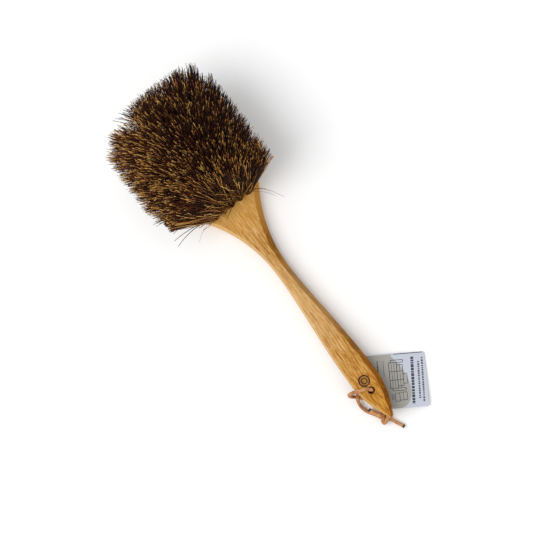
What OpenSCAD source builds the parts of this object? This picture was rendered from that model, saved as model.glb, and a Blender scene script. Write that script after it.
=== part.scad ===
// Long-handled scrubbing brush: a wooden paddle with fanned fibre tufts, a leather
// hanging thong and a card swing tag. It lies on its back, with the bristles up along +Z
// and the handle along +X. The origin is on the flat back, under the middle of the head.
// Lengths are in millimetres and angles in degrees.

/* [Wood] */
// Length of the whole block, from the end of the head to the tip of the handle
wood_length = 369; // [355:1:380]
// Thickness of the block
wood_thickness = 18; // [17:0.5:20]
// Width of the head
head_width = 74.6; // [73:0.2:80]
// Width of the neck, the narrowest place on the handle
neck_width = 14.5; // [13:0.1:16]
// Width of the grip at its widest
grip_width = 28.6; // [26:0.2:30]
// Height that the tip of the handle sweeps up above the flat back
tip_rise = 12; // [12:0.5:16]

/* [Hanging hole] */
// Diameter of the hole for the thong
hanging_hole_d = 7; // [7:0.5:8]
// Distance from the tip of the handle to the hole
hole_from_tip = 32; // [31:0.5:33]

/* [Tufts] */
// Distance between the rows of tufts, along the handle
row_pitch = 10.8; // [10.4:0.1:11]
// Distance between the tufts of one row
column_pitch = 10.5; // [10.2:0.1:10.8]
// Diameter of a tuft hole
tuft_hole_d = 6; // [5.8:0.1:6.2]
// Depth of a tuft hole along its own axis
tuft_hole_depth = 11; // [10:0.5:12]
// Free length of a tuft that doesn't lean
tuft_length = 62; // [55:1:65]
// Diameter of a tuft at its tips
tuft_tip_d = 11.6; // [9:0.2:11.6]
// Sideways lean of the outermost tufts in each row
side_lean = 30; // [24:1:31]
// Lean of the row nearest the handle, towards the end of the head
first_row_lean = 4; // [2:1:6]
// Lean of the row at the end of the head
last_row_lean = 24; // [20:1:25]

/* [Thong and tag] */
// Diameter of the leather thong
thong_d = 3.4; // [3:0.1:3.4]
// Length of the card tag
tag_length = 60; // [58:1:64]
// Width of the card tag
tag_width = 53; // [50:1:56]
// Thickness of the card
tag_thickness = 0.6; // [0.4:0.1:0.8]

/* [Hidden] */
$fn = 48;

// Wood: stations along the handle
head_end_x = -58;
tip_x = head_end_x + wood_length;
grip_from_tip = 47;
grip_x = tip_x - grip_from_tip;
neck_from_tip = 179;
neck_x = tip_x - neck_from_tip;
hole_x = tip_x - hole_from_tip;
head_taper_x = 10;
head_roundness = 2.6;
flare_radius = 150;
flare_angle = 34;
nose_radius = 1.8;
grip_swell = 0.9;
sweep_start_x = 80;
sweep_radius = pow(tip_x - sweep_start_x, 2) / (2 * tip_rise);
hole_bevel = 1;
cut_margin = 2;
curve_step = 7.5;

// Tufts: five and six to a row in turn, and four at the rounded end
ROW_TUFTS = [5, 6, 5, 6, 5, 6, 5, 6, 5, 4];
row_count = len(ROW_TUFTS);
first_row_x = 50;
root_slack = 0.4;
root_d = tuft_hole_d - root_slack;
root_gap = 0.3;
end_row_fan = 0.62;
flare_start = 3;
wire_d = 1;
wire_bite = 1;
wire_length = tuft_hole_d + 2 * wire_bite;
wire_height = 1.5;
wire_slack = 0.3;

// Thong: the loop runs from the knot up beside the handle, turns once under its edge,
// folds over onto its face, goes down through the hole and the tag, and back along the
// surface to the knot
LOOP_ROUTE = [
    [305.3, -11.5, 4.4], [300.8, -14.1, 3.1], [297.5, -16.4, 2.6], [293.8, -18.6, 2.6],
    [289.7, -19.9, 3], [285.5, -20.3, 4.2], [281.4, -19.6, 5.9], [278.3, -18.2, 7.6],
    [275.9, -16.5, 7.1], [274.7, -13.6, 5.4], [275.4, -11.4, 4.2], [277.4, -10.2, 3.2],
    [280, -10.8, 2.7], [281.2, -12.9, 2.4], [279.7, -15.6, 2.7], [276.3, -18.6, 3.5],
    [273.6, -21.2, 6.4], [271.7, -22.2, 11], [270.5, -21.7, 15.5], [270, -19.9, 20.5],
    [270.2, -17.5, 25.8], [270.8, -15.3, 28.3], [271.6, -12.2, 29], [273, -8.5, 29.2],
    [274.9, -4.2, 29.2], [277, -1.3, 28.5], [278.7, 0.1, 26.2], [279.2, 0.4, 22.4],
    [279.2, 0.4, 15], [279.2, 0.4, 8.4], [279.9, 0.3, 5.2], [282, -0.5, 2.9],
    [285.2, -1.6, 2], [291.5, -3.4, 1.9], [298, -5.4, 2.2], [304.9, -7.6, 4]
];
TAIL_ROUTE = [
    [311.5, -6.4, 4.1], [314, -4.3, 2.8], [317, -2.9, 2.1], [320.5, -1.4, 2],
    [323.9, 0.3, 2], [326.9, 1.7, 2.2]
];
STUB_ROUTE = [[305, -9.6, 7.8], [300.5, -12.1, 7.3], [296.8, -14, 6.6], [293.3, -15.8, 5.9]];
tube_sides = 8;
knot_centre = [308.5, -9.1, 5];
knot_heading = 40;
knot_d = 9.4;
knot_length = 9;
knot_rounding = 2;

// Tag: its hole is where the thong passes through, and its far corner rests on the surface
tag_hole_place = [280.1, 0.4, 5.2];
tag_turn = [-2.6, 3.4, 57.8];
tag_hole_d = 5.6;
tag_hole_end = 8;
tag_hole_side = 20.5;
tag_clip = 17;
tag_corner = 2;

function tuft_name(row, column) = str("tuft_r", row + 1, "_c", column + 1);

// ---- Wood ----

// Height of the back above the resting surface
function back_rise(x) = x < sweep_start_x ? 0 : pow(x - sweep_start_x, 2) / (2 * sweep_radius);

// Rounded end of the head, from the end point to the straight side
function head_end_curve() = [
    for (a = [0:curve_step:90])
        [head_taper_x - (head_taper_x - head_end_x) * pow(cos(a), 2 / head_roundness),
         head_width / 2 * pow(sin(a), 2 / head_roundness)]
];

// Hollow flare from the neck to the head, and the round shoulder that meets it
flare_end = [neck_x - flare_radius * sin(flare_angle),
             neck_width / 2 + flare_radius * (1 - cos(flare_angle))];
shoulder_radius = (head_width / 2 - flare_end[1]) / (1 - cos(flare_angle));
shoulder_x = flare_end[0] - shoulder_radius * sin(flare_angle);

function shoulder_curve() = [
    for (i = [0:3])
        let(a = flare_angle * i / 4)
            [shoulder_x + shoulder_radius * sin(a), head_width / 2 - shoulder_radius * (1 - cos(a))]
];

function flare_curve() = [
    for (i = [17:-1:1])
        let(a = flare_angle * i / 17)
            [neck_x - flare_radius * sin(a), neck_width / 2 + flare_radius * (1 - cos(a))]
];

// Slow swelling from the neck to the grip
function grip_curve() = [
    for (i = [0:19])
        let(t = i / 20, swell = (1 - cos(180 * pow(t, grip_swell))) / 2)
            [neck_x + t * (grip_x - neck_x),
             neck_width / 2 + swell * (grip_width - neck_width) / 2]
];

// Pointed arch from the grip to the tip, and its small round nose
tip_run = tip_x - nose_radius - grip_x;
tip_drop = grip_width / 2 - nose_radius;
tip_radius = (pow(tip_run, 2) + pow(tip_drop, 2)) / (2 * tip_drop);
tip_angle = asin(tip_run / tip_radius);

function tip_curve() = [
    for (i = [0:10])
        let(a = tip_angle * i / 10)
            [grip_x + tip_radius * sin(a), grip_width / 2 - tip_radius * (1 - cos(a))]
];

function nose_curve() = [
    for (a = [60:-30:0]) [tip_x - nose_radius * (1 - cos(a)), nose_radius * sin(a)]
];

half_outline = concat(
    head_end_curve(), shoulder_curve(), flare_curve(), grip_curve(), tip_curve(), nose_curve()
);

module plan_outline() {
    last = len(half_outline) - 2;
    mirrored = [for (i = [last:-1:1]) [half_outline[i][0], -half_outline[i][1]]];
    polygon(concat(half_outline, mirrored));
}

module side_profile() {
    swept = [for (i = [0:16]) sweep_start_x + (tip_x - sweep_start_x) * i / 16];
    back = concat([[head_end_x, 0]], [for (x = swept) [x, back_rise(x)]]);
    front = [for (i = [len(back) - 1:-1:0]) back[i] + [0, wood_thickness]];
    polygon(concat(back, front));
}

module wooden_block() {
    intersection() {
        linear_extrude(height = tip_rise + wood_thickness) plan_outline();
        rotate([90, 0, 0]) linear_extrude(height = head_width + cut_margin, center = true) side_profile();
    }
}

module hanging_hole() {
    face_z = back_rise(hole_x) + wood_thickness;
    translate([hole_x, 0, 0]) {
        cylinder(d = hanging_hole_d, h = face_z + cut_margin);
        translate([0, 0, face_z - hole_bevel])
            cylinder(d1 = hanging_hole_d, d2 = hanging_hole_d + 4 * hole_bevel, h = 2 * hole_bevel);
    }
}

module handle() {
    color([0.80, 0.60, 0.34])
        difference() {
            wooden_block();
            hanging_hole();
            for (row = [0:row_count - 1], column = [0:ROW_TUFTS[row] - 1])
                at_tuft(row, column)
                    translate([0, 0, -tuft_hole_depth])
                        cylinder(d = tuft_hole_d, h = tuft_hole_depth + tuft_hole_d);
        }
}

// ---- Tufts ----

// Share of the way across the row, from -1 to 1
function across(row, column) = 2 * column / (ROW_TUFTS[row] - 1) - 1;

// The short row at the end of the head is fanned less than the others
function lean_sideways(row, column) =
    side_lean * across(row, column) * (row == row_count - 1 ? end_row_fan : 1);

function lean_forward(row) =
    first_row_lean + (last_row_lean - first_row_lean) * row / (row_count - 1);

// Moves its children to a tuft's mouth on the face of the head, with +Z along the tuft
module at_tuft(row, column) {
    translate([
        first_row_x - row_pitch * row,
        column_pitch * (ROW_TUFTS[row] - 1) / 2 * across(row, column),
        wood_thickness
    ])
        rotate([-lean_sideways(row, column), -lean_forward(row), 0])
            children();
}

// Moves its children to the anchor wire near the bottom of a tuft's hole
module at_wire(row, column) {
    at_tuft(row, column)
        translate([0, 0, wire_height - tuft_hole_depth])
            rotate([0, 90, 0])
                children();
}

// A tuft is one bundle of fibres: a straight root in the hole and a flared free end
module tuft(row, column) {
    root_length = tuft_hole_depth - root_gap + flare_start;
    free_length = tuft_length / sqrt(cos(lean_sideways(row, column))) - flare_start;
    color(column % 2 == 0 ? [0.27, 0.16, 0.08] : [0.36, 0.22, 0.11])
        difference() {
            at_tuft(row, column) {
                translate([0, 0, root_gap - tuft_hole_depth]) cylinder(d = root_d, h = root_length);
                translate([0, 0, flare_start])
                    cylinder(d1 = root_d, d2 = tuft_tip_d, h = free_length);
            }
            at_wire(row, column)
                cylinder(d = wire_d + wire_slack, h = 2 * root_d, center = true);
        }
}

// Anchor wires: each one holds its folded tuft down and bites into the wood on both sides
module staples() {
    color([0.72, 0.73, 0.75])
        for (row = [0:row_count - 1], column = [0:ROW_TUFTS[row] - 1])
            at_wire(row, column)
                cylinder(d = wire_d, h = wire_length, center = true, $fn = 16);
}

// ---- Thong ----

function unit(v) = v / norm(v);

function tangent(route, i) = unit(route[min(i + 1, len(route) - 1)] - route[max(i - 1, 0)]);

// Direction across the tube at point i, carried along the route without twisting
function across_tube(route, i) =
    i == 0
        ? unit(cross(tangent(route, 0), [0, 0, 1]))
        : let(before = across_tube(route, i - 1), along = tangent(route, i))
            unit(before - (before * along) * along);

module tube(route) {
    rings = len(route);
    points = [
        for (i = [0:rings - 1])
            let(side = across_tube(route, i), other = cross(tangent(route, i), side))
                for (k = [0:tube_sides - 1])
                    let(a = 360 * k / tube_sides)
                        route[i] + thong_d / 2 * (cos(a) * side + sin(a) * other)
    ];
    walls = [
        for (i = [0:rings - 2], k = [0:tube_sides - 1])
            let(p = i * tube_sides + k, q = i * tube_sides + (k + 1) % tube_sides)
                for (face = [[p, p + tube_sides, q + tube_sides], [p, q + tube_sides, q]]) face
    ];
    first_end = [for (k = [0:tube_sides - 1]) k];
    last_end = [for (k = [tube_sides - 1:-1:0]) (rings - 1) * tube_sides + k];
    polyhedron(points, concat(walls, [first_end, last_end]));
}

module thong_loop() {
    color([0.74, 0.49, 0.33]) tube(LOOP_ROUTE);
}

module thong_tail() {
    color([0.74, 0.49, 0.33]) tube(TAIL_ROUTE);
}

module thong_stub() {
    color([0.74, 0.49, 0.33]) tube(STUB_ROUTE);
}

// The knot's outer shape is a barrel with rounded rims
module thong_knot() {
    radius = knot_d / 2;
    rim = [
        for (a = [0:22.5:90])
            [radius - knot_rounding * (1 - sin(a)), knot_length / 2 - knot_rounding * (1 - cos(a))]
    ];
    lower = [for (i = [len(rim) - 1:-1:0]) [rim[i][0], -rim[i][1]]];
    color([0.70, 0.45, 0.30])
        translate(knot_centre)
            rotate([0, 90, knot_heading])
                rotate_extrude()
                    polygon(concat([[0, knot_length / 2]], rim, lower, [[0, -knot_length / 2]]));
}

// ---- Tag ----

module tag_outline() {
    near = -tag_hole_end;
    far = tag_length - tag_hole_end;
    low = -tag_hole_side;
    high = tag_width - tag_hole_side;
    corner_centres = [[far - tag_corner, low + tag_corner, -90], [far - tag_corner, high - tag_corner, 0],
                      [near + tag_corner, high - tag_corner, 90]];
    rounded = [
        for (c = corner_centres) for (a = [0:30:90])
            [c[0] + tag_corner * cos(c[2] + a), c[1] + tag_corner * sin(c[2] + a)]
    ];
    polygon(concat(rounded, [[near, low + tag_clip], [near + tag_clip, low]]));
}

module swing_tag() {
    color([0.80, 0.82, 0.86])
        translate(tag_hole_place)
            rotate(tag_turn)
                linear_extrude(height = tag_thickness, center = true)
                    difference() {
                        tag_outline();
                        circle(d = tag_hole_d);
                    }
}

handle();
staples();
thong_loop();
thong_knot();
thong_tail();
thong_stub();
swing_tag();
for (row = [0:row_count - 1], column = [0:ROW_TUFTS[row] - 1])
    tuft(row, column);
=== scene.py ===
# Scrubbing brush with a wooden handle and fanned plant-fibre tufts: the looks, built around
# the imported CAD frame. Metres, in the CAD frame: the brush lies on its back, +Z up, handle
# along +X, origin under the middle of the head.
import math
import random

import bmesh
import bpy
import numpy as np
from mathutils import Euler, Matrix, Vector


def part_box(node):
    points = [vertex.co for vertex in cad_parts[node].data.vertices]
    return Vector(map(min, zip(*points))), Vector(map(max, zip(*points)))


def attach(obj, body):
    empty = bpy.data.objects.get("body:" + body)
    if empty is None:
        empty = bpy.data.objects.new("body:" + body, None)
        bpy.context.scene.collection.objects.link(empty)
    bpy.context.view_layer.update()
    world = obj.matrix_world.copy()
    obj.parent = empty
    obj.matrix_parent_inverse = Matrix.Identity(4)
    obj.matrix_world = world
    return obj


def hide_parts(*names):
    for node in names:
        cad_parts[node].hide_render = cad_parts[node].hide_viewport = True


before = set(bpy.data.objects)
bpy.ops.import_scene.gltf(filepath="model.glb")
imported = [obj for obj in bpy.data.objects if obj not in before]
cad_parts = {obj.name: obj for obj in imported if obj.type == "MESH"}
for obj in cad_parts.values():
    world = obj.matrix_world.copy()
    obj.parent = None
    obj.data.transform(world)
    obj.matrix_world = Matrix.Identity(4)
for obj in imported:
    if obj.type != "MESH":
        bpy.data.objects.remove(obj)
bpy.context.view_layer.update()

MM = 0.001

# ---- Shared sizes, as in the CAD model ----

WOOD_LOW, WOOD_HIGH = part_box("handle")
HEAD_END_X = WOOD_LOW[0]
TIP_X = WOOD_HIGH[0]
HEAD_HALF = WOOD_HIGH[1]
THICKNESS = 18 * MM
TIP_RISE = WOOD_HIGH[2] - THICKNESS
NECK_HALF = 7.25 * MM
GRIP_HALF = 14.3 * MM
GRIP_X = TIP_X - 47 * MM
NECK_X = TIP_X - 179 * MM
HOLE_X = TIP_X - 32 * MM
GRIP_SWELL = 0.9
HOLE_RADIUS = 3.5 * MM
HEAD_TAPER_X = 10 * MM
HEAD_ROUNDNESS = 2.6
FLARE_RADIUS = 150 * MM
FLARE_ANGLE = math.radians(34)
NOSE_RADIUS = 1.8 * MM
NOSE_ANGLE = math.radians(60)
SWEEP_START_X = 80 * MM
EDGE_RADIUS = 3.5 * MM
FULL_EDGE_HALF = 9 * MM
MARK_CENTRE = (267.9 * MM, -0.3 * MM)

ROW_TUFTS = [5, 6, 5, 6, 5, 6, 5, 6, 5, 4]
ROW_COUNT = len(ROW_TUFTS)
LAST_ROW = ROW_COUNT - 1
ROW_PITCH = 10.8 * MM
COLUMN_PITCH = 10.5 * MM
FIRST_ROW_X = 50 * MM
TUFT_HOLE_RADIUS = 3 * MM
TUFT_HOLE_DEPTH = 11 * MM
TUFT_LENGTH = 62 * MM
SIDE_LEAN = math.radians(30)
FIRST_ROW_LEAN = math.radians(4)
LAST_ROW_LEAN = math.radians(24)
LEAN_STEP = (LAST_ROW_LEAN - FIRST_ROW_LEAN) / LAST_ROW
END_ROW_FAN = 0.62

THONG_RADIUS = 1.7 * MM
LOOP_ROUTE = [
    (305.3, -11.5, 4.4), (300.8, -14.1, 3.1), (297.5, -16.4, 2.6), (293.8, -18.6, 2.6),
    (289.7, -19.9, 3), (285.5, -20.3, 4.2), (281.4, -19.6, 5.9), (278.3, -18.2, 7.6),
    (275.9, -16.5, 7.1), (274.7, -13.6, 5.4), (275.4, -11.4, 4.2), (277.4, -10.2, 3.2),
    (280, -10.8, 2.7), (281.2, -12.9, 2.4), (279.7, -15.6, 2.7), (276.3, -18.6, 3.5),
    (273.6, -21.2, 6.4), (271.7, -22.2, 11), (270.5, -21.7, 15.5), (270, -19.9, 20.5),
    (270.2, -17.5, 25.8), (270.8, -15.3, 28.3), (271.6, -12.2, 29), (273, -8.5, 29.2),
    (274.9, -4.2, 29.2), (277, -1.3, 28.5), (278.7, 0.1, 26.2), (279.2, 0.4, 22.4),
    (279.2, 0.4, 15), (279.2, 0.4, 8.4), (279.9, 0.3, 5.2), (282, -0.5, 2.9),
    (285.2, -1.6, 2), (291.5, -3.4, 1.9), (298, -5.4, 2.2), (304.9, -7.6, 4),
]
TAIL_ROUTE = [
    (311.5, -6.4, 4.1), (314, -4.3, 2.8), (317, -2.9, 2.1), (320.5, -1.4, 2),
    (323.9, 0.3, 2), (326.9, 1.7, 2.2),
]
STUB_ROUTE = [(305, -9.6, 7.8), (300.5, -12.1, 7.3), (296.8, -14, 6.6), (293.3, -15.8, 5.9)]
KNOT_CENTRE = Vector((308.5, -9.1, 5)) * MM
KNOT_HEADING = math.radians(40)

TAG_PLACE = Vector((280.1, 0.4, 5.2)) * MM
TAG_TURN = Euler((math.radians(-2.6), math.radians(3.4), math.radians(57.8)))
TAG_NEAR, TAG_FAR = -8 * MM, 52 * MM
TAG_LOW, TAG_HIGH = -20.5 * MM, 32.5 * MM
TAG_THICKNESS = 0.6 * MM


# ---- Camera ----

def make_camera():
    """Looks down from 8 degrees towards the tip and 6.5 towards +Y, handle to the lower right."""
    target = Vector((119.6, -10.7, 9)) * MM
    towards = Vector((math.sin(math.radians(8)), math.sin(math.radians(6.5)), 0))
    towards.z = math.sqrt(1 - towards.length_squared)
    distance = 0.985
    up = Vector((-0.7946, 0.6071, 0))
    back = towards.normalized()
    right = up.cross(back).normalized()
    true_up = back.cross(right)
    data = bpy.data.cameras.new("camera")
    data.sensor_width = 36
    data.lens = 66.5
    camera = bpy.data.objects.new("camera", data)
    place = Matrix((right, true_up, back)).transposed().to_4x4()
    place.translation = target + distance * back
    camera.matrix_world = place
    bpy.context.scene.collection.objects.link(camera)
    bpy.context.scene.camera = camera


make_camera()


# ---- Mesh helpers ----

def add_mesh(name, points, faces, material=None, smooth=True):
    mesh = bpy.data.meshes.new(name)
    mesh.from_pydata([tuple(p) for p in points], [], faces)
    mesh.validate()
    if smooth:
        mesh.shade_smooth()
    piece = bpy.data.objects.new(name, mesh)
    bpy.context.scene.collection.objects.link(piece)
    if material:
        mesh.materials.append(material)
    return piece


def add_values(piece, name, values):
    """A number at each vertex, for the material to read."""
    layer = piece.data.attributes.new(name, "FLOAT", "POINT")
    layer.data.foreach_set("value", np.asarray(values, dtype=np.float32))


def catmull_rom(points, steps):
    """A smooth curve through the points, with that many steps from each to the next."""
    points = [Vector(p) for p in points]
    padded = [2 * points[0] - points[1]] + points + [2 * points[-1] - points[-2]]
    curve = []
    for a, b, c, d in zip(padded, padded[1:], padded[2:], padded[3:]):
        for step in range(steps):
            t = step / steps
            curve.append(
                0.5 * (2 * b + (c - a) * t + (2 * a - 5 * b + 4 * c - d) * t * t
                       + (3 * b - 3 * c + d - a) * t ** 3)
            )
    curve.append(points[-1])
    return curve


def tube_mesh(line, radius_at, sides, squareness):
    """Points and faces of a closed tube along the line, with flat ends; round at squareness 2."""
    points, faces = [], []
    side = None
    count = len(line)
    for i, centre in enumerate(line):
        along = (line[min(i + 1, count - 1)] - line[max(i - 1, 0)]).normalized()
        if side is None:
            side = along.cross(Vector((0, 0, 1))).normalized()
        side = (side - along * side.dot(along)).normalized()
        other = along.cross(side)
        for k in range(sides):
            angle = 2 * math.pi * k / sides
            c, s = math.cos(angle), math.sin(angle)
            reach = (abs(c) ** squareness + abs(s) ** squareness) ** (-1 / squareness)
            points.append(centre + radius_at(i, k) * reach * (c * side + s * other))
    for i in range(count - 1):
        for k in range(sides):
            p, q = i * sides + k, i * sides + (k + 1) % sides
            faces.append((p, q, q + sides, p + sides))
    faces.append(tuple(reversed(range(sides))))
    faces.append(tuple(range((count - 1) * sides, count * sides)))
    return points, faces


# ---- Material helpers ----

def srgb(r, g, b):
    """A colour given as 0-255 screen values, as the linear values that shaders take."""
    def linear(v):
        v = v / 255
        return v / 12.92 if v <= 0.04045 else ((v + 0.055) / 1.055) ** 2.4
    return (linear(r), linear(g), linear(b), 1)


class Nodes:
    """A short way to write a material's nodes."""

    def __init__(self, name, **shader_values):
        self.material = bpy.data.materials.new(name)
        self.material.use_nodes = True
        self.tree = self.material.node_tree
        self.shader = self.tree.nodes["Principled BSDF"]
        for socket, value in shader_values.items():
            self.shader.inputs[socket.replace("_", " ")].default_value = value

    def add(self, kind, **settings):
        node = self.tree.nodes.new(kind)
        for key, value in settings.items():
            setattr(node, key, value)
        return node

    def link(self, source, target):
        self.tree.links.new(source, target)

    def put(self, socket, value):
        if isinstance(value, (int, float, tuple, Vector)):
            socket.default_value = value
        else:
            self.link(value, socket)

    def coordinates(self, scale=(1, 1, 1), place=(0, 0, 0), turn=(0, 0, 0)):
        source = self.add("ShaderNodeTexCoord").outputs["Object"]
        mapping = self.add("ShaderNodeMapping")
        mapping.inputs["Scale"].default_value = scale
        mapping.inputs["Location"].default_value = place
        mapping.inputs["Rotation"].default_value = turn
        self.link(source, mapping.inputs["Vector"])
        return mapping.outputs["Vector"]

    def noise(self, vector, scale=1.0, detail=2.0, roughness=0.5, distortion=0.0):
        node = self.add("ShaderNodeTexNoise")
        node.inputs["Scale"].default_value = scale
        node.inputs["Detail"].default_value = detail
        node.inputs["Roughness"].default_value = roughness
        node.inputs["Distortion"].default_value = distortion
        self.link(vector, node.inputs["Vector"])
        return node.outputs["Fac"]

    def attribute(self, name):
        return self.add("ShaderNodeAttribute", attribute_name=name).outputs["Fac"]

    def math(self, operation, a, b=0.0, clamp=False):
        node = self.add("ShaderNodeMath", operation=operation, use_clamp=clamp)
        for socket, value in zip(node.inputs, (a, b)):
            self.put(socket, value)
        return node.outputs[0]

    def length(self, a, b):
        """The square root of a * a + b * b."""
        squares = self.math("ADD", self.math("MULTIPLY", a, a), self.math("MULTIPLY", b, b))
        return self.math("SQRT", squares)

    def spread(self, value, low, high, to_low=0.0, to_high=1.0):
        """Maps low..high smoothly to to_low..to_high."""
        node = self.add("ShaderNodeMapRange", interpolation_type="SMOOTHSTEP")
        for socket, given in zip(node.inputs[:5], (value, low, high, to_low, to_high)):
            self.put(socket, given)
        return node.outputs[0]

    def ramp(self, value, stops):
        node = self.add("ShaderNodeValToRGB")
        elements = node.color_ramp.elements
        while len(elements) < len(stops):
            elements.new(0.5)
        for element, (position, colour) in zip(elements, stops):
            element.position = position
            element.color = colour
        self.link(value, node.inputs["Fac"])
        return node.outputs["Color"]

    def mix(self, share, a, b, blend="MIX"):
        node = self.add("ShaderNodeMix", data_type="RGBA", blend_type=blend)
        self.put(node.inputs[0], share)
        self.put(node.inputs[6], a)
        self.put(node.inputs[7], b)
        return node.outputs[2]

    def split(self, vector):
        node = self.add("ShaderNodeSeparateXYZ")
        self.link(vector, node.inputs[0])
        return node.outputs

    def bump(self, height, strength, distance):
        node = self.add("ShaderNodeBump")
        node.inputs["Strength"].default_value = strength
        node.inputs["Distance"].default_value = distance
        self.link(height, node.inputs["Height"])
        self.link(node.outputs["Normal"], self.shader.inputs["Normal"])

    def finish(self, colour, roughness=None):
        self.link(colour, self.shader.inputs["Base Color"])
        if roughness is not None:
            self.link(roughness, self.shader.inputs["Roughness"])
        return self.material


# ---- Leather thong ----

THONG_SIDES = 12
THONG_SQUARENESS = 2.5
STAINED_END = 2.6 * MM


def leather_material():
    """Tan leather, creased, with a dark stain at the cut ends."""
    m = Nodes("tan_leather", Specular_IOR_Level=0.35)
    at = m.coordinates()
    patches = m.noise(at, scale=170, detail=3)
    grain = m.noise(at, scale=2200, detail=2)
    colour = m.ramp(patches, [
        (0.32, srgb(158, 102, 58)), (0.5, srgb(200, 142, 90)), (0.7, srgb(228, 178, 126)),
    ])
    crease = m.spread(grain, 0.32, 0.55)
    colour = m.mix(crease, srgb(120, 70, 42), colour)
    stain = m.spread(m.attribute("cut_end"), 0.05, 0.5)
    colour = m.mix(stain, colour, srgb(52, 34, 20))
    m.bump(grain, 0.5, 0.15 * MM)
    return m.finish(colour, m.spread(patches, 0.3, 0.7, 0.5, 0.72))


LEATHER = leather_material()


def thong_line():
    """The whole thong, from its long end through the knot, round the loop, and back to its short end."""
    inside_knot = [(310, -8.4, 4.5), (307.6, -9.8, 5)]
    turn_back = [(307.6, -8.2, 4.8), (310, -8, 5.6), (309.2, -9.6, 7)]
    route = TAIL_ROUTE[::-1] + inside_knot + LOOP_ROUTE + turn_back + STUB_ROUTE
    return catmull_rom([Vector(p) * MM for p in route], 6)


def make_thong():
    line = thong_line()
    rng = random.Random(5)
    swell = [rng.uniform(-0.05, 0.05) for _ in line]

    def radius_at(i, k):
        ripple = 0.03 * math.sin(0.9 * i + 2.2 * k)
        return THONG_RADIUS * (0.98 + swell[i] * 0.5 + ripple)

    points, faces = tube_mesh(line, radius_at, THONG_SIDES, THONG_SQUARENESS)
    thong = add_mesh("leather_thong", points, faces, LEATHER)
    from_end = [min((p - line[0]).length, (p - line[-1]).length) for p in line]
    cut_end = [max(0.0, 1 - distance / STAINED_END) for distance in from_end]
    add_values(thong, "cut_end", np.repeat(cut_end, THONG_SIDES))
    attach(thong, "thong")
    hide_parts("thong_loop", "thong_tail", "thong_stub")
    return thong, line


def make_knot():
    """Overhand knot: one strand wound round the two that pass through it."""
    turn = Matrix.Rotation(KNOT_HEADING, 3, "Z")
    steps = 60
    route = []
    for step in range(steps + 1):
        t = step / steps
        angle = math.radians(-100 + 830 * t)
        along = (3.2 - 6.0 * t + 1.5 * math.sin(3 * math.pi * t)) * MM
        across = (4.0 + 0.5 * math.sin(5 * t)) * MM * math.cos(angle)
        height = 3.1 * MM * math.sin(angle)
        route.append(KNOT_CENTRE + turn @ Vector((along, across, height)))
    points, faces = tube_mesh(route, lambda i, k: 1.05 * THONG_RADIUS, THONG_SIDES, THONG_SQUARENESS)
    knot = add_mesh("thong_knot_wraps", points, faces, LEATHER)
    cut_end = [1.0] + [0.0] * (steps - 1) + [1.0]
    add_values(knot, "cut_end", np.repeat(cut_end, THONG_SIDES))
    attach(knot, "thong")
    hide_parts("thong_knot")
    return knot


thong, thong_path = make_thong()
knot = make_knot()


# ---- Wooden block ----

def back_rise(x):
    """Height of the block's back above the surface it lies on."""
    if x < SWEEP_START_X:
        return 0.0
    return TIP_RISE * ((x - SWEEP_START_X) / (TIP_X - SWEEP_START_X)) ** 2


def shares(steps):
    """Equal steps from just above 0 up to 1."""
    return [(i + 1) / steps for i in range(steps)]


def half_outline():
    """Outline of the +Y side, from the middle of the head's end to the tip."""
    head_reach = HEAD_TAPER_X - HEAD_END_X
    points = []
    for t in [0] + shares(18):
        a = math.radians(90) * t
        points.append((HEAD_TAPER_X - head_reach * math.cos(a) ** (2 / HEAD_ROUNDNESS),
                       HEAD_HALF * math.sin(a) ** (2 / HEAD_ROUNDNESS)))

    # The straight side of the head, the shoulder's arc, and the flare's arc into the neck
    flare_end_x = NECK_X - FLARE_RADIUS * math.sin(FLARE_ANGLE)
    flare_end_y = NECK_HALF + FLARE_RADIUS * (1 - math.cos(FLARE_ANGLE))
    shoulder = (HEAD_HALF - flare_end_y) / (1 - math.cos(FLARE_ANGLE))
    shoulder_x = flare_end_x - shoulder * math.sin(FLARE_ANGLE)
    points += [(HEAD_TAPER_X + (shoulder_x - HEAD_TAPER_X) * t, HEAD_HALF) for t in shares(6)]
    for t in shares(8):
        a = FLARE_ANGLE * t
        points.append((shoulder_x + shoulder * math.sin(a), HEAD_HALF - shoulder * (1 - math.cos(a))))
    for t in shares(32):
        a = FLARE_ANGLE * (1 - t)
        points.append((NECK_X - FLARE_RADIUS * math.sin(a), NECK_HALF + FLARE_RADIUS * (1 - math.cos(a))))

    # The grip's swell
    for t in shares(40):
        swell = (1 - math.cos(math.pi * t ** GRIP_SWELL)) / 2
        points.append((NECK_X + t * (GRIP_X - NECK_X), NECK_HALF + (GRIP_HALF - NECK_HALF) * swell))

    # The arc to the pointed tip, and its small nose
    run = TIP_X - NOSE_RADIUS - GRIP_X
    drop = GRIP_HALF - NOSE_RADIUS
    tip_radius = (run ** 2 + drop ** 2) / (2 * drop)
    tip_angle = math.asin(run / tip_radius)
    for t in shares(18):
        a = tip_angle * t
        points.append((GRIP_X + tip_radius * math.sin(a), GRIP_HALF - tip_radius * (1 - math.cos(a))))
    for t in shares(8):
        a = NOSE_ANGLE * (1 - t)
        points.append((TIP_X - NOSE_RADIUS * (1 - math.cos(a)), NOSE_RADIUS * math.sin(a)))
    return points


# A section's edges as insets and depths, in shares of its edge radius: the face slopes away in a long
# bevel, and the back has a plain round. Between them lie points at these shares of its width.
FACE_EDGE = [(1, 0), (0.96, 0.02), (0.9, 0.12), (0.55, 1.1), (0.2, 2.0), (0, 2.6)]
BACK_EDGE = [(0.9, 0), (0.82, 0.03), (0.5, 0.22), (0.25, 0.45), (0.08, 0.75), (0, 1.05)]
SHARES_ACROSS = [0.86, 0.6, 0.3, 0, -0.3, -0.6, -0.86]


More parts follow.
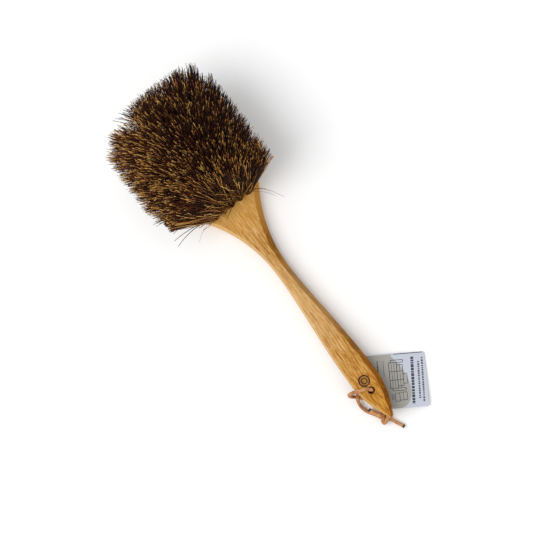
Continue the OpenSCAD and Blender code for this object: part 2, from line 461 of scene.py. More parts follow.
def block_section(x, y, outward, radius):
    """A ring of points round the block, through the outline's points (x, y) and (x, -y)."""
    def corner(inset, depth, side, on_face):
        px = x - outward.x * (inset * radius)
        py = y - outward.y * (inset * radius)
        back = back_rise(px)
        pz = back + THICKNESS - depth * radius if on_face else back + depth * radius
        return Vector((px, side * max(py, 0), pz))

    ring = [corner(inset, depth, 1, True) for inset, depth in FACE_EDGE]
    ring += [corner(inset, depth, 1, False) for inset, depth in reversed(BACK_EDGE)]
    low = ring[-1]
    ring += [Vector((low.x, low.y * share, low.z)) for share in SHARES_ACROSS]
    ring += [corner(inset, depth, -1, False) for inset, depth in BACK_EDGE]
    ring += [corner(inset, depth, -1, True) for inset, depth in reversed(FACE_EDGE)]
    high = ring[0]
    ring += [Vector((high.x, high.y * share, high.z)) for share in reversed(SHARES_ACROSS)]
    return ring


def block_mesh():
    """The block as a loft of rounded sections across the handle."""
    outline = half_outline()
    last = len(outline) - 1
    points = []
    for i, (x, y) in enumerate(outline):
        if i == 0:
            outward = Vector((-1, 0))
        elif i == last:
            outward = Vector((1, 0))
        else:
            (x0, y0), (x1, y1) = outline[i - 1], outline[i + 1]
            outward = Vector((y0 - y1, x1 - x0)).normalized()
        radius = EDGE_RADIUS * min(1, 0.12 + y / FULL_EDGE_HALF)
        points.extend(block_section(x, y, outward, radius))
    ring_size = len(points) // len(outline)
    faces = []
    for i in range(last):
        for k in range(ring_size):
            p, q = i * ring_size + k, i * ring_size + (k + 1) % ring_size
            faces.append((p, q, q + ring_size, p + ring_size))
    return points, faces


def lathe_cutter(name, profile, steps=40):
    """A closed solid of revolution round Z from (radius, height) points, the first and last on the axis."""
    points = [Vector((0, 0, profile[0][1]))]
    for radius, height in profile[1:-1]:
        for k in range(steps):
            a = 2 * math.pi * k / steps
            points.append(Vector((radius * math.cos(a), radius * math.sin(a), height)))
    points.append(Vector((0, 0, profile[-1][1])))
    faces = []
    rings = len(profile) - 2
    for k in range(steps):
        n = (k + 1) % steps
        faces.append((0, 1 + n, 1 + k))
        for j in range(rings - 1):
            p, q = 1 + j * steps + k, 1 + j * steps + n
            faces.append((p, q, q + steps, p + steps))
        end = 1 + (rings - 1) * steps
        faces.append((end + k, end + n, len(points) - 1))
    return add_mesh(name, points, faces, smooth=False)


def cut(piece, cutter):
    """Takes the cutter out of the piece and deletes the cutter."""
    modifier = piece.modifiers.new("cut", "BOOLEAN")
    modifier.operation = "DIFFERENCE"
    modifier.solver = "EXACT"
    modifier.object = cutter
    graph = bpy.context.evaluated_depsgraph_get()
    result = bpy.data.meshes.new_from_object(piece.evaluated_get(graph))
    piece.modifiers.remove(modifier)
    piece.data = result
    bpy.data.objects.remove(cutter)


def across_share(row, column):
    """A tuft's place across its row, from -1 at the -Y end to 1 at the +Y end."""
    return 2 * column / (ROW_TUFTS[row] - 1) - 1


def tuft_frame(row, column):
    """The mouth of a tuft's hole, and the turn that takes +Z to the tuft's own direction."""
    share = across_share(row, column)
    mouth = Vector((FIRST_ROW_X - ROW_PITCH * row,
                    COLUMN_PITCH * (ROW_TUFTS[row] - 1) / 2 * share,
                    THICKNESS))
    forward = FIRST_ROW_LEAN + LEAN_STEP * row
    sideways = SIDE_LEAN * share * (END_ROW_FAN if row == LAST_ROW else 1)
    turn = Euler((-sideways, -forward, 0)).to_matrix()
    return mouth, turn


def all_tufts():
    return [(row, column) for row in range(ROW_COUNT) for column in range(ROW_TUFTS[row])]


def tuft_hole_cutters():
    """One object of all the tuft holes."""
    points, faces = [], []
    sides = 20
    for row, column in all_tufts():
        mouth, turn = tuft_frame(row, column)
        start = len(points)
        for height in (-TUFT_HOLE_DEPTH, TUFT_HOLE_RADIUS * 2):
            for k in range(sides):
                a = 2 * math.pi * k / sides
                local = Vector((TUFT_HOLE_RADIUS * math.cos(a), TUFT_HOLE_RADIUS * math.sin(a), height))
                points.append(mouth + turn @ local)
        for k in range(sides):
            p, q = start + k, start + (k + 1) % sides
            faces.append((p, q, q + sides, p + sides))
        faces.append(tuple(reversed(range(start, start + sides))))
        faces.append(tuple(range(start + sides, start + 2 * sides)))
    return add_mesh("tuft_holes", points, faces, smooth=False)


def hanging_hole_cutter():
    """The hole near the tip, with its rim rounded over on both faces."""
    back_z = back_rise(HOLE_X)
    face_z = back_z + THICKNESS
    rim = 1.4 * MM
    past_face = 0.2 * MM
    widest = HOLE_RADIUS + rim
    cutter_radius = widest + 1 * MM
    bottom, top = -1 * MM, face_z + 4 * MM
    profile = [(0, bottom), (cutter_radius, bottom), (widest, back_z - past_face)]
    for t in shares(6):
        a = math.radians(90) * t
        profile.append((HOLE_RADIUS + rim * (1 - math.sin(a)), back_z - past_face + rim * (1 - math.cos(a))))
    for t in [0] + shares(6):
        a = math.radians(90) * (1 - t)
        profile.append((HOLE_RADIUS + rim * (1 - math.sin(a)), face_z + past_face - rim * (1 - math.cos(a))))
    profile += [(cutter_radius, top), (0, top)]
    cutter = lathe_cutter("hanging_hole", profile)
    cutter.location = (HOLE_X, 0, 0)
    return cutter


def wood_grain(m):
    """The bare wood's colour, with its streaks and pores."""
    tilt = (0, 0, math.radians(5))
    rings = m.add("ShaderNodeTexWave", wave_type="RINGS", rings_direction="X")
    m.link(m.coordinates(scale=(0.10, 1, 1), place=(0, 0.093, 0.062), turn=tilt), rings.inputs["Vector"])
    rings.inputs["Scale"].default_value = 70
    rings.inputs["Distortion"].default_value = 3.0
    rings.inputs["Detail"].default_value = 2
    rings.inputs["Detail Scale"].default_value = 0.5
    clouds = m.noise(m.coordinates(scale=(9, 70, 70)), detail=3)
    streaks = m.noise(m.coordinates(scale=(30, 900, 900), turn=tilt), detail=3, roughness=0.62)
    fine = m.noise(m.coordinates(scale=(30, 1500, 1500), turn=tilt), detail=2)
    pores = m.noise(m.coordinates(scale=(60, 950, 950), turn=tilt), detail=1.5, distortion=0.2)
    flecks = m.noise(m.coordinates(scale=(110, 1250, 1250), place=(3, 1, 2), turn=tilt), detail=1)
    base = m.ramp(rings.outputs["Fac"], [
        (0.0, srgb(182, 132, 58)), (0.5, srgb(193, 145, 73)), (0.85, srgb(187, 137, 64)),
        (1.0, srgb(168, 116, 45)),
    ])
    base = m.mix(m.spread(clouds, 0.35, 0.7, 0, 0.3), base, srgb(172, 118, 50))
    base = m.mix(m.spread(streaks, 0.5, 0.6, 0, 0.5), base, srgb(216, 178, 122))
    base = m.mix(m.spread(streaks, 0.48, 0.38, 0, 0.5), base, srgb(168, 112, 20))
    base = m.mix(m.spread(fine, 0.5, 0.3, 0, 0.3), base, srgb(150, 96, 36))
    base = m.mix(m.spread(pores, 0.55, 0.58, 0, 0.85), base, srgb(146, 92, 10))
    base = m.mix(m.spread(flecks, 0.58, 0.66, 0, 0.5), base, srgb(228, 194, 146))
    return base, streaks, pores


def wood_sides(m, base):
    """The upright sides show the rings edge on. The +Y side faces away from the light and is darkened with
    painted shade and made less specular. The -Y side faces the light and is paled with a painted highlight.
    """
    normal = m.split(m.add("ShaderNodeTexCoord").outputs["Normal"])
    upright = m.spread(m.math("ABSOLUTE", normal[2]), 0.75, 0.5)
    painted_shade_side = m.math("MULTIPLY", upright, m.spread(normal[1], -0.1, 0.3))
    painted_highlight_side = m.math("MULTIPLY", upright, m.spread(normal[1], 0.1, -0.3))
    layers = m.noise(m.coordinates(scale=(75, 6, 18), place=(1, 0, 0)), detail=1)
    bands = m.math("MULTIPLY", m.spread(layers, 0.52, 0.6, 0, 0.3), painted_shade_side)
    # Painted shade: the +Y side, away from the light, is darkened, with dark ring bands in it
    base = m.mix(painted_shade_side, base, srgb(209, 181, 0), blend="MULTIPLY")
    base = m.mix(bands, base, srgb(92, 52, 6))
    # Painted highlight: the -Y side, which faces the light, is paled
    base = m.mix(m.math("MULTIPLY", painted_highlight_side, 0.45), base, srgb(226, 190, 132))
    return base, painted_shade_side


def wood_along(m, base, x):
    """The wood darkens towards the tip and is palest at the narrow neck. On the head it is lighter and
    warmer, a painted light against the shade that the tufts cast there.
    """
    dark_from, dark_to = 205 * MM, 292 * MM
    palest_x, pale_out, pale_full = 172 * MM, 62 * MM, 20 * MM
    painted_light_from, painted_light_to = 105 * MM, 64 * MM
    base = m.mix(m.spread(x, dark_from, dark_to, 0, 0.85), base, srgb(246, 223, 118), blend="MULTIPLY")
    from_palest = m.math("ABSOLUTE", m.math("SUBTRACT", x, palest_x))
    base = m.mix(m.spread(from_palest, pale_out, pale_full, 0, 0.2), base, srgb(226, 190, 138))
    # Painted light on the head, under the tufts, where their shade falls
    return m.mix(m.spread(x, painted_light_from, painted_light_to, 0, 0.35), base, srgb(228, 172, 84))


def burnt_mark(m, base, x, y, z):
    """A mark burnt into the face near the hole: a plain ring with a small wheel inside it."""
    from_x = m.math("SUBTRACT", x, MARK_CENTRE[0])
    from_y = m.math("SUBTRACT", y, MARK_CENTRE[1])
    reach = m.length(from_x, from_y)
    angle = m.math("ARCTAN2", from_y, from_x)
    spokes = m.math("ABSOLUTE", m.math("SINE", m.math("MULTIPLY", angle, 3.0)))
    on_face = m.math("GREATER_THAN", z, THICKNESS)

    def ring(radius, half_width):
        off = m.math("ABSOLUTE", m.math("SUBTRACT", reach, radius * MM))
        return m.spread(off, (half_width + 0.18) * MM, (half_width - 0.12) * MM)

    spoke = m.math("MULTIPLY", m.spread(spokes, 0.42, 0.2), m.spread(reach, 3.3 * MM, 3.0 * MM))
    burnt = m.math("MAXIMUM", m.math("MAXIMUM", ring(5.1, 0.7), ring(2.8, 0.5)), spoke)
    uneven = m.spread(m.noise(m.coordinates(), scale=420, detail=2), 0.28, 0.5, 0.65, 1.0)
    burnt = m.math("MULTIPLY", m.math("MULTIPLY", burnt, uneven), on_face)
    halo = m.math("MULTIPLY", m.spread(reach, 6.6 * MM, 4.6 * MM, 0, 0.22), on_face)
    base = m.mix(halo, base, srgb(120, 72, 24))
    return m.mix(burnt, base, srgb(44, 24, 12))


def wood_material():
    m = Nodes("oiled_wood")
    x, y, z = m.split(m.coordinates())
    base, streaks, pores = wood_grain(m)
    base, painted_shade_side = wood_sides(m, base)
    base = wood_along(m, base, x)
    base = burnt_mark(m, base, x, y, z)
    # The +Y side's painted shade also lowers its specular
    m.link(m.spread(painted_shade_side, 0, 1, 0.16, 0.05), m.shader.inputs["Specular IOR Level"])
    relief = m.math("SUBTRACT", streaks, m.spread(pores, 0.5, 0.66, 0, 0.5))
    m.bump(relief, 0.3, 0.25 * MM)
    return m.finish(base, m.spread(streaks, 0.3, 0.7, 0.44, 0.58))


def make_handle():
    points, faces = block_mesh()
    handle = add_mesh("wooden_handle", points, faces)
    bm = bmesh.new()
    bm.from_mesh(handle.data)
    bmesh.ops.remove_doubles(bm, verts=bm.verts, dist=0.01 * MM)
    bmesh.ops.dissolve_degenerate(bm, edges=bm.edges, dist=0.005 * MM)
    bmesh.ops.recalc_face_normals(bm, faces=bm.faces)
    bm.to_mesh(handle.data)
    bm.free()
    hanging_hole = hanging_hole_cutter()
    bpy.context.view_layer.update()
    cut(handle, hanging_hole)
    cut(handle, tuft_hole_cutters())
    handle.data.materials.clear()
    handle.data.materials.append(wood_material())
    handle.data.shade_smooth()
    handle.data.set_sharp_from_angle(angle=math.radians(24))
    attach(handle, "brush")
    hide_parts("handle")


make_handle()


# ---- Anchor wires, kept from the CAD model ----

def wire_material():
    m = Nodes("drawn_wire", Roughness=0.35, Metallic=1.0)
    marks = m.noise(m.coordinates(scale=(300, 3000, 3000)), detail=2)
    return m.finish(m.ramp(marks, [(0.3, srgb(150, 152, 156)), (0.7, srgb(196, 198, 202))]))


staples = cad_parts["staples"]
for wire_slot in staples.material_slots:
    wire_slot.material = wire_material()


# ---- Tufts ----

FIBRES_IN_TUFT = 175
OUTERMOST_EXTRA = 85
FIRST_ROW_FEWER = 80
FIBRE_STEPS = 6
FIBRE_SIDES = 4
FIBRE_TAPER = 0.38
FIBRE_BEND = 1.1 * MM
ROOT_DEPTH = 4 * MM
LEAN_JITTER = math.radians(1.2)
LENGTH_JITTER = 0.032
END_ROW_BIAS = math.radians(4)
WIDEST_TIP = 67.7 * MM
# Rows whose fibres start part way up the painted root shade, so their roots are less darkened
ROOT_SHADE_LIFT = {0: 0.6, 1: 0.25}

# In the first rows, tufts away from the sides lean further forward than their holes do
INNER_LEAN = math.radians(13)
INNER_LEAN_ROWS = 5

# What a tuft's tips fill of the top, in rows from front to back and in tufts across, and how evenly
TIP_DEPTH = 1.25
SIDE_TIP_DEPTH = 1.65
TIP_WIDTH = 1.3
TIP_JITTER = 0.16


def fibre_material():
    """Dark plant fibre, from black-brown at tint 0 to pale gold at 1, darkened with painted shade to near
    black towards the roots, for the shade deep in the tufts.
    """
    m = Nodes("plant_fibre", Specular_IOR_Level=0.12)
    tint = m.attribute("tint")
    along = m.attribute("along")
    streak = m.noise(m.coordinates(scale=(900, 900, 260)), detail=2)
    tint = m.math("ADD", tint, m.spread(streak, 0.3, 0.7, -0.10, 0.10), clamp=True)
    colour = m.ramp(tint, [
        (0.0, srgb(24, 11, 9)), (0.28, srgb(76, 38, 24)), (0.48, srgb(134, 74, 38)),
        (0.7, srgb(220, 160, 77)), (1.0, srgb(255, 216, 130)),
    ])
    # Painted shade: below its tip each fibre darkens towards its root, for the shade deep in the tufts
    colour = m.mix(m.spread(along, 0.4, 0.94, 0.94, 0.0), colour, srgb(13, 5, 3))
    m.bump(streak, 0.3, 0.1 * MM)
    return m.finish(colour, m.spread(streak, 0.3, 0.7, 0.42, 0.6))


FIBRE = fibre_material()


def directions(side_lean, forward_lean):
    """Unit directions of fibres that lean sideways, towards +Y, and forward, towards -X."""
    return np.stack([
        -np.sin(forward_lean) * np.cos(side_lean),
        np.sin(side_lean),
        np.cos(forward_lean) * np.cos(side_lean),
    ], axis=-1)


def fibre_mesh(name, centre, width, phase, tint, root_shade_lift=0.0):
    """One mesh of thin tapered tubes along the rows of centre points, tinted one by one."""
    count, rings = centre.shape[:2]
    steps = np.linspace(0, 1, rings)
    along = np.gradient(centre, axis=1)
    along /= np.linalg.norm(along, axis=2, keepdims=True)
    side = np.cross(along, np.array([0.92, 0.39, 0.0]))
    side /= np.linalg.norm(side, axis=2, keepdims=True)
    other = np.cross(along, side)
    reach = (width[:, None] * (1 - FIBRE_TAPER * steps[None, :] ** 2))[..., None]
    points = np.zeros((count, rings, FIBRE_SIDES, 3))
    for k in range(FIBRE_SIDES):
        angle = (phase + 2 * math.pi * k / FIBRE_SIDES)[:, None, None]
        points[:, :, k, :] = centre + reach * (np.cos(angle) * side + np.sin(angle) * other)
    per_fibre = rings * FIBRE_SIDES
    faces = []
    for start in range(0, count * per_fibre, per_fibre):
        for j in range(rings - 1):
            for k in range(FIBRE_SIDES):
                p = start + j * FIBRE_SIDES + k
                q = start + j * FIBRE_SIDES + (k + 1) % FIBRE_SIDES
                faces.append((p, q, q + FIBRE_SIDES, p + FIBRE_SIDES))
        faces.append(tuple(start + k for k in reversed(range(FIBRE_SIDES))))
        faces.append(tuple(start + per_fibre - FIBRE_SIDES + k for k in range(FIBRE_SIDES)))
    piece = add_mesh(name, points.reshape(-1, 3), faces, FIBRE)
    add_values(piece, "tint", np.repeat(tint, per_fibre))
    # How far along each ring lies, which the material turns into painted shade towards the root; a root
    # shade lift starts it part way up
    along_for_shade = root_shade_lift + (1 - root_shade_lift) * steps
    add_values(piece, "along", np.tile(np.repeat(along_for_shade, FIBRE_SIDES), count))
    return piece


def fold_below(values, limit):
    """The values, with those above the limit folded back under it."""
    return limit - np.abs(limit - values)


def fold_above(values, limit):
    """The values, with those below the limit folded back over it."""
    return limit + np.abs(values - limit)


def tip_places(row, share, cell, rng):
    """How far each tip lies from the tuft's own place on the top, in rows back and in tufts towards +Y.

    The outermost tufts fill more of the top than the others, and stop at its edge.
    """
    at_side = abs(share) == 1
    spread = [SIDE_TIP_DEPTH if at_side else TIP_DEPTH, TIP_WIDTH]
    back, across = (cell * spread + rng.normal(0, TIP_JITTER, cell.shape)).T
    if row == 0:
        # A clean front edge, set back furthest at the -Y end
        inset = 0.3 - 0.32 * min(share, 0) - 0.15 * max(share, 0)
        back = fold_above(back + inset, inset - 0.4)
    if row == LAST_ROW:
        # The far edge: its four tufts spread wider and stop short
        back = fold_below(back, 0.62)
        across = across * 1.5
    if row == LAST_ROW - 1 and at_side:
        # The far corners, of which the +Y one stands out more
        back = fold_below(1.2 * back + 0.3 - 0.05 * share, 1.3 if share > 0 else 0.85)
    if at_side:
        # The side edges, cut in round the far -Y corner
        limit = -0.5 if row == LAST_ROW and share < 0 else 0.3
        if row == LAST_ROW - 1:
            limit = limit - 0.12 - 0.36 * np.clip(back, 0, 1) * (share < 0)
        across = share * fold_below(share * across, limit)
    if ROW_TUFTS[row] == 5 and row < LAST_ROW - 1:
        # Rows of five open a little, to reach the edge that the rows of six make
        across = across + 0.1 * share
    return back, across


def widest_tip(row, share):
    """How far from the middle a tuft's tips may reach; the first rows are cut shorter on the -Y side."""
    if share < 0:
        return WIDEST_TIP - {0: 13, 1: 10}.get(row, 0.6) * MM
    if share > 0 and row == LAST_ROW - 2:
        return WIDEST_TIP - 1.5 * MM
    return WIDEST_TIP


def tuft_tips(row, share, back, across, rng):
    """The fibres' tips: each fibre leans as far as its tip's place asks, and nearly all are one length."""
    count = len(back)
    half_row = (ROW_TUFTS[row] - 1) / 2
    tip_share = share + across / half_row
    fan = SIDE_LEAN * (END_ROW_FAN if row == LAST_ROW else 1)
    side_lean = fan * tip_share + rng.normal(0, LEAN_JITTER, count)
    side_lean += END_ROW_BIAS if row == LAST_ROW else 0
    forward_lean = FIRST_ROW_LEAN + LEAN_STEP * (row + back) + rng.normal(0, LEAN_JITTER, count)
    inner = 1 - np.minimum(np.abs(tip_share), 1) ** 2
    forward_lean += INNER_LEAN * max(0, 1 - row / INNER_LEAN_ROWS) * inner
    base = np.stack([
        FIRST_ROW_X - ROW_PITCH * (row + back),
        COLUMN_PITCH * half_row * tip_share,
        np.full(count, THICKNESS),
    ], axis=1)
    heading = directions(side_lean, forward_lean)
    length = TUFT_LENGTH / np.sqrt(np.cos(side_lean))
    length *= 0.995 - np.abs(rng.normal(0, LENGTH_JITTER, count))
    length *= 0.975 if row == LAST_ROW else 1
    room = widest_tip(row, share) - np.abs(base[:, 1])
    length = np.minimum(length, room / np.maximum(np.abs(heading[:, 1]), 0.01))
    return base + heading * length[:, None]


def fibre_lines(mouth, turn, cell, tip, rng):
    """Centre lines from roots that fill the round hole, each bowed a little on its way to its tip."""
    frame_x, frame_y, axis = turn.T
    disk = cell / np.maximum(np.linalg.norm(cell, axis=1, keepdims=True), 1e-6)
    disk = disk * np.sqrt(np.abs(cell).max(axis=1, keepdims=True) * 2) * TUFT_HOLE_RADIUS * 0.9
    root = mouth - disk[:, :1] * frame_x + disk[:, 1:] * frame_y
    bend = rng.normal(0, FIBRE_BEND, cell.shape)
    straight = np.linalg.norm(tip - root, axis=1)[:, None] * axis
    centre = np.zeros((len(cell), FIBRE_STEPS + 1, 3))
    for j, t in enumerate(np.linspace(0, 1, FIBRE_STEPS + 1)):
        flare = t ** 1.3
        bow = 4 * t * (1 - t)
        centre[:, j] = root + straight * t + (tip - root - straight) * flare
        centre[:, j] += bow * (bend[:, :1] * frame_x + bend[:, 1:] * frame_y)
    centre[:, 0] -= ROOT_DEPTH * axis
    return centre


def fibre_tints(row, share, tip, rng):
    """Mostly dark, in soft locks, with golden fibres among them. The golden ones are commoner in the first
    rows and on the -Y side of the rows behind, a painted light where the light falls, and fibres towards +Y
    are darker, a painted shade.
    """
    # Painted light: more golden fibres in the first rows and on the -Y side, where the light falls
    if row < 2:
        golden = 0.15 + 0.14 * (share > -0.4) + 0.05 * (share < -0.9)
    else:
        golden = 0.15 + 0.05 * (share < 0) + 0.12 * (share < -0.4 and row < 6)
    count = len(tip)
    lock = np.sin(tip[:, 0] / (1.3 * MM) + 2.1 * np.sin(tip[:, 1] / (2.3 * MM)))
    lock += np.sin(tip[:, 1] / (1.1 * MM) + 1.7 * np.sin(tip[:, 0] / (2.9 * MM)))
    tint = 0.34 * rng.beta(1.2, 1.9, count) + 0.04 * lock
    tint += np.where(rng.uniform(0, 1, count) < golden, rng.uniform(0.36, 0.72, count), 0)
    # Painted shade: fibres towards +Y, away from the light, are darker
    tint -= 0.1 * max(share, 0) + 0.03 * (share > -0.3 and row > 3)
    tint += 0.1 * (share < -0.4 and (row < 2 or row > 5))
    tint *= 0.6 if row == 0 and -1 < share < 0 else 1
    return np.clip(tint, 0, 1)


def make_tuft(row, column):
    """One bundle of fibres, tight in its hole, whose tips fill the tuft's share of the trimmed top."""
    rng = np.random.default_rng(1000 + 40 * row + column)
    share = across_share(row, column)
    mouth, turn = (np.array(v) for v in tuft_frame(row, column))
    count = FIBRES_IN_TUFT
    count += OUTERMOST_EXTRA if abs(share) == 1 or row == LAST_ROW else 0
    count -= FIRST_ROW_FEWER if row == 0 and share < 1 else 0
    cell = rng.uniform(-0.5, 0.5, (count, 2))
    back, across = tip_places(row, share, cell, rng)
    tip = tuft_tips(row, share, back, across, rng)
    centre = fibre_lines(mouth, turn, cell, tip, rng)
    width = rng.uniform(0.23, 0.4, count) * MM
    tint = fibre_tints(row, share, tip, rng)
    phase = rng.uniform(0, 6.28, count)
    name = f"fibre_tuft_{row + 1}_{column + 1}"
    tuft = fibre_mesh(name, centre, width, phase, tint, ROOT_SHADE_LIFT.get(row, 0.0))
    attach(tuft, "brush")
    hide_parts(f"tuft_r{row + 1}_c{column + 1}")


for tuft_row, tuft_column in all_tufts():
    make_tuft(tuft_row, tuft_column)


# ---- Stray fibres ----

# The listed ones: start, middle, end, tint and width, in mm
PLACED_STRAYS = [
    ((50, 20, 17), (57, 34, 21), (76, 46, 13), 0.42, 0.25),
    ((50, 20, 17), (60, 33, 19), (72, 41, 15), 0.5, 0.2),
    ((50, 20, 17), (55, 30, 24), (60, 37, 22), 0.3, 0.25),
    ((49, -20, 17), (49, -42, 42), (46, -66, 33), 0.1, 0.4),
    ((49, -20, 17), (50, -42, 38), (52, -67, 29), 0.15, 0.4),
    ((49, -20, 17), (54, -34, 28), (60, -48, 22), 0.45, 0.22),
]
RANDOM_STRAYS = 130


def random_stray(rng):
    """A fibre from anywhere along the first row, fanning out like its neighbours."""
    y = rng.uniform(-23, 22)
    lean = 0.03 * y + rng.normal(-0.3, 0.35)
    reach = rng.uniform(18, 54) * (1 if abs(lean) < 0.8 else 0.5)
    start = (rng.uniform(47, 52), y, 17)
    end_x = 54 - 0.22 * reach + rng.normal(0, 4)
    end = (end_x, y + reach * math.sin(lean), 18 + reach * math.cos(lean))
    middle = tuple((a + b) / 2 + rng.normal(0, 2.5) for a, b in zip(start, end))
    tint = rng.uniform(0.3, 0.95) * (1 if abs(lean) < 0.9 else 0.4)
    return start, middle, end, tint, rng.uniform(0.2, 0.32)


def make_stray_fibres():
    """Loose fibres that hang out of the first rows and cross one another."""
    rng = np.random.default_rng(77)
    strays = PLACED_STRAYS + [random_stray(rng) for _ in range(RANDOM_STRAYS)]
    starts, middles, ends, tints, widths = (np.array(v) for v in zip(*strays))
    a, b, c = starts * MM, middles * MM, ends * MM
    pull = 2 * b - (a + c) / 2
    centre = np.stack([
        a * (1 - t) ** 2 + 2 * pull * t * (1 - t) + c * t * t for t in np.linspace(0, 1, 11)
    ], axis=1)
    phase = rng.uniform(0, 6.28, len(strays))
    piece = fibre_mesh("stray_fibres", centre, widths * MM, phase, tints, root_shade_lift=0.6)
    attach(piece, "brush")


make_stray_fibres()


# ---- Card tag ----

def card_material():
    """Pale paper, with a large grey disc behind the drawing and grey at the punched end."""
    m = Nodes("printed_card")
    x, y, z = m.split(m.coordinates())
    disc_x, disc_y = 6.3 * MM, 11.2 * MM
    half_length, half_width = 38 * MM, 22.5 * MM
    turn_cos, turn_sin = math.cos(math.radians(50)), math.sin(math.radians(50))
    from_x = m.math("SUBTRACT", x, disc_x)
    from_y = m.math("SUBTRACT", y, disc_y)
    long_way = m.math("SUBTRACT", m.math("MULTIPLY", from_x, turn_cos), m.math("MULTIPLY", from_y, turn_sin))
    short_way = m.math("ADD", m.math("MULTIPLY", from_x, turn_sin), m.math("MULTIPLY", from_y, turn_cos))
    reach = m.length(m.math("DIVIDE", long_way, half_length), m.math("DIVIDE", short_way, half_width))
    disc = m.spread(reach, 0.99, 1.01, 1, 0)
    grey = m.math("MAXIMUM", disc, m.spread(x, 19.4 * MM, 19.7 * MM, 1, 0))
    grey = m.math("MULTIPLY", grey, m.math("GREATER_THAN", z, 0))
    speckle = m.noise(m.coordinates(), scale=2600, detail=2)
    fibres = m.noise(m.coordinates(scale=(500, 2200, 2200)), detail=2)
    paper = m.mix(m.spread(speckle, 0.3, 0.7, 0, 0.25), srgb(188, 194, 206), srgb(172, 178, 192))
    ink = m.mix(m.spread(fibres, 0.35, 0.7, 0, 0.3), srgb(160, 159, 152), srgb(148, 147, 140))
    m.bump(speckle, 0.15, 0.03 * MM)
    return m.finish(m.mix(grey, paper, ink), m.spread(speckle, 0.3, 0.7, 0.45, 0.6))


def card_outline():
    """A card with three rounded corners and one cut off, from its far low corner round to the cut."""
    corner = 2 * MM
    clip = 17 * MM
    rounded = [
        (TAG_FAR - corner, TAG_LOW + corner, -90),
        (TAG_FAR - corner, TAG_HIGH - corner, 0),
        (TAG_NEAR + corner, TAG_HIGH - corner, 90),
    ]
    points = []
    for cx, cy, start in rounded:
        for i in range(5):
            a = math.radians(start + 22.5 * i)
            points.append((cx + corner * math.cos(a), cy + corner * math.sin(a)))
    points += [(TAG_NEAR, TAG_LOW + clip), (TAG_NEAR + clip, TAG_LOW)]
    return points


def make_tag():
    outline = card_outline()
    count = len(outline)
    half = TAG_THICKNESS / 2
    points = [(x, y, -half) for x, y in outline] + [(x, y, half) for x, y in outline]
    faces = [tuple(reversed(range(count))), tuple(range(count, 2 * count))]
    faces += [(k, (k + 1) % count, (k + 1) % count + count, k + count) for k in range(count)]
    tag = add_mesh("card_tag", points, faces, smooth=False)
    radius, past_card = 2.8 * MM, 2 * MM
    profile = [(0, -past_card), (radius, -past_card), (radius, past_card), (0, past_card)]
    cut(tag, lathe_cutter("tag_hole", profile, 32))
    tag.data.materials.clear()
    tag.data.materials.append(card_material())
    tag.matrix_world = Matrix.Translation(TAG_PLACE) @ TAG_TURN.to_matrix().to_4x4()
    bpy.context.view_layer.update()
    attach(tag, "tag")
    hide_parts("swing_tag")
    return tag


def ink_and_fold_shade_material():
    m = Nodes("printed_ink_and_fold_shade")
    wear = m.noise(m.coordinates(), scale=1500, detail=3)
    colour = m.ramp(wear, [
        (0.3, srgb(26, 34, 48)), (0.62, srgb(46, 56, 74)), (0.75, srgb(84, 92, 108)),
    ])
    return m.finish(colour, m.spread(wear, 0.3, 0.7, 0.5, 0.7))


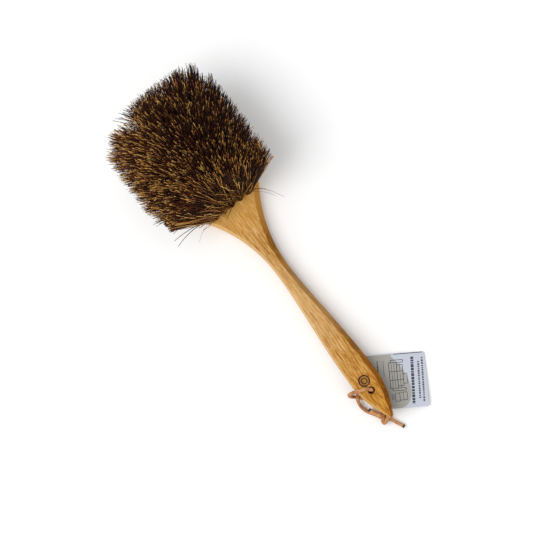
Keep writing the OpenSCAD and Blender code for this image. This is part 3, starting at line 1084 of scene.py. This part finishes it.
def make_print_and_fold_shade(tag):
    """The printing: rows of plain dashes in place of words and a line drawing of a bench, with a dark strip
    of painted shade along the folded top edge.
    """
    rng = random.Random(9)
    height = TAG_THICKNESS / 2 + 0.03 * MM
    points, faces = [], []

    def quad(corners):
        start = len(points)
        points.extend(Vector((x * MM, y * MM, height)) for x, y in corners)
        faces.append((start, start + 1, start + 2, start + 3))

    def stroke(a, b, width):
        a, b = Vector(a), Vector(b)
        side = Vector((b.y - a.y, a.x - b.x)).normalized() * width / 2
        quad([a + side, b + side, b - side, a - side])

    def dashes(a, b, width, dash, gap):
        a, b = Vector(a), Vector(b)
        run = (b - a).length
        along = (b - a) / run
        at = 0.0
        while at < run:
            end = min(run, at + dash * rng.uniform(0.6, 1.4))
            stroke(a + along * at, a + along * end, width)
            at = end + gap * rng.uniform(0.7, 1.3)

    def frame_of(x0, y0, x1, y1, width=0.6):
        corners = [(x0, y0), (x1, y0), (x1, y1), (x0, y1)]
        for a, b in zip(corners, corners[1:] + corners[:1]):
            stroke(a, b, width)

    dashes((39.6, 28.4), (37.5, -17.2), 2.8, 2.4, 0.6)
    dashes((45.3, 23.6), (43.9, -12.3), 1.7, 1.5, 0.8)
    dashes((49.1, 27.2), (47.6, -16.2), 1.7, 1.5, 0.8)
    dashes((5.6, 26.5), (5.4, 14), 1.2, 1.6, 0.7)
    stroke((11.2, 26.5), (11.2, 10.8), 0.4)

    # The bench, drawn on its side: back, seat, arms and slats
    frame_of(16.4, -1, 24, 24)
    frame_of(24, 1, 29.6, 21.5)
    for y in (7, 15.4):
        stroke((16.4, y), (29.6, y), 0.5)
    frame_of(18.4, 24, 30.4, 26.4)
    frame_of(18.4, -3.4, 31.4, -1)
    for x in (19, 21.4, 26.8):
        stroke((x, 0), (x, 23), 0.4)
    frame_of(29.6, 3.2, 33.4, 12.6, 0.5)
    # A low table beside it
    frame_of(20.2, -13.6, 24.6, -5.8, 0.5)
    frame_of(24.6, -12.8, 31.8, -5.2, 0.5)
    stroke((28.2, -12.8), (28.2, -5.2), 0.4)
    for x in (17.2, 18.8):
        stroke((x, -12), (x, -6.4), 0.4)
    # The folded top edge, seen as a darker line: a strip of painted shade along the fold
    stroke((22, 32.1), (50, 32.1), 0.7)
    art = add_mesh("card_print_and_fold_shade", points, faces, ink_and_fold_shade_material(), smooth=False)
    solid = art.modifiers.new("depth", "SOLIDIFY")
    solid.thickness = 0.025 * MM
    art.matrix_world = tag.matrix_world.copy()
    bpy.context.view_layer.update()
    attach(art, "tag")
    return art


tag = make_tag()
art = make_print_and_fold_shade(tag)


# ---- Floor and light ----

def make_floor():
    half = 3.0
    corners = [(-half, -half, 0), (half, -half, 0), (half, half, 0), (-half, half, 0)]
    floor = add_mesh("floor", corners, [(0, 1, 2, 3)], smooth=False)
    floor.location.z = -0.2 * MM
    m = Nodes("pale_floor", Roughness=0.9, Base_Color=(0.92, 0.92, 0.92, 1))
    floor.data.materials.append(m.material)


def add_area_light(name, place, size, watts):
    data = bpy.data.lights.new(name, "AREA")
    data.energy = watts
    data.size = size
    light = bpy.data.objects.new(name, data)
    light.location = place
    brush_middle = Vector((0.12, 0, 0))
    aim = (brush_middle - Vector(place)).to_track_quat("-Z", "Y")
    light.rotation_euler = aim.to_euler()
    bpy.context.scene.collection.objects.link(light)


def make_light():
    world = bpy.data.worlds.new("studio")
    world.use_nodes = True
    world.node_tree.nodes["Background"].inputs["Color"].default_value = (1, 1, 1, 1)
    world.node_tree.nodes["Background"].inputs["Strength"].default_value = 0.82
    bpy.context.scene.world = world
    add_area_light("key", (-0.1, -0.75, 1.5), size=1.2, watts=14)
    bpy.context.scene.view_settings.view_transform = "Standard"


make_floor()
make_light()
